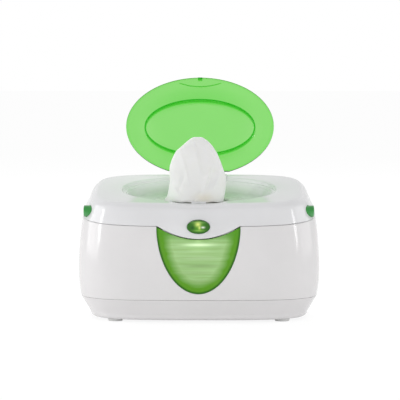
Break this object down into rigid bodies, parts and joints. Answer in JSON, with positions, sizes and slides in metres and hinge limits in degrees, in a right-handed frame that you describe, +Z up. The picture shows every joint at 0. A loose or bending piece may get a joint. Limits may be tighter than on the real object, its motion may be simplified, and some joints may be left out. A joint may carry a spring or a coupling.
{
  "type": "baby wipe warmer",
  "caption": "Rounded casing with a heated tub of wipes, a tinted front window, a hinged main lid with a dispensing recess, a clear oval flip lid, a front button and two side buttons.",
  "frame": {"origin": "centre of the bounding box's base, on the plane that the feet rest on, with the flip lid open as it is shown", "axes": "+X to the object's left as it faces the viewer's right, along its width; -Y towards the front, where the window and the front button are; +Z up"},
  "size_m": [0.268, 0.1976, 0.2629],
  "materials": {
    "white_shell": "gloss",
    "white_lid": "gloss",
    "white_inner": "matte",
    "clear_tub": "satin",
    "green_clear": "gloss",
    "green_window": "gloss",
    "green_button": "gloss",
    "rubber_grey": "matte",
    "seal_grey": "matte",
    "steel": "satin",
    "spring_steel": "satin",
    "plate": "satin",
    "film": "matte",
    "pad": "matte",
    "board": "matte",
    "black": "matte",
    "tan": "matte",
    "wire": "matte",
    "wipes": "matte"
  },
  "bodies": {
    "housing": {"outer_shell": "white_shell", "base_pan": "white_shell", "rubber_feet": "rubber_grey", "base_screws": "steel", "wipe_tub": "clear_tub", "view_window": "green_window", "heater_plate": "plate", "heater_film": "film", "insulation_pad": "pad", "plate_screws": "steel", "thermostat": "tan", "thermal_fuse": "steel", "control_board": "board", "board_screws": "steel", "dc_inlet": "black", "inlet_nut": "steel", "inlet_wires": "wire", "heater_wires": "wire", "led_board": "board", "led_screws": "steel", "led_wires": "wire", "hinge_pins": "steel", "wipe_stack": "wipes"},
    "main_lid": {"lid_cover": "white_lid", "lid_liner": "white_inner", "liner_screws": "steel", "lid_seal": "seal_grey", "dispenser_insert": "white_inner", "button_bracket": "white_inner", "bracket_screws": "steel", "button_spring": "spring_steel", "side_spring_left": "spring_steel", "side_spring_right": "spring_steel", "flip_hinge_pin": "steel", "flip_spring": "spring_steel", "pop_up_wipe": "wipes"},
    "flip_lid": {"flip_lid": "green_clear"},
    "front_button": {"front_button": "green_button"},
    "side_button_left": {"side_button_left": "green_button"},
    "side_button_right": {"side_button_right": "green_button"}
  },
  "joints": [
    {"name": "main_lid_hinge", "type": "hinge", "parent": "housing", "child": "main_lid", "pos_m": [0, 0.07747, 0.12714], "axis": [-1, 0, 0], "range_deg": [0, 80]},
    {"name": "flip_lid_hinge", "type": "hinge", "parent": "main_lid", "child": "flip_lid", "pos_m": [0, 0.04752, 0.15132], "axis": [-1, 0, 0], "range_deg": [-123.5, 0], "stiffness_Nm_per_rad": 0.02, "springref_deg": 20.05, "deforming": ["flip_spring", "pop_up_wipe"]},
    {"name": "front_button_press", "type": "slide", "parent": "main_lid", "child": "front_button", "axis": [0, 1, 0], "range_m": [0, 0.0025], "stiffness_N_per_m": 400, "springref_m": -0.001, "deforming": ["button_spring"]},
    {"name": "side_button_left_press", "type": "slide", "parent": "main_lid", "child": "side_button_left", "axis": [1, 0, 0], "range_m": [0, 0.003], "stiffness_N_per_m": 400, "springref_m": -0.001, "deforming": ["side_spring_left"]},
    {"name": "side_button_right_press", "type": "slide", "parent": "main_lid", "child": "side_button_right", "axis": [-1, 0, 0], "range_m": [0, 0.003], "stiffness_N_per_m": 400, "springref_m": -0.001, "deforming": ["side_spring_right"]}
  ]
}
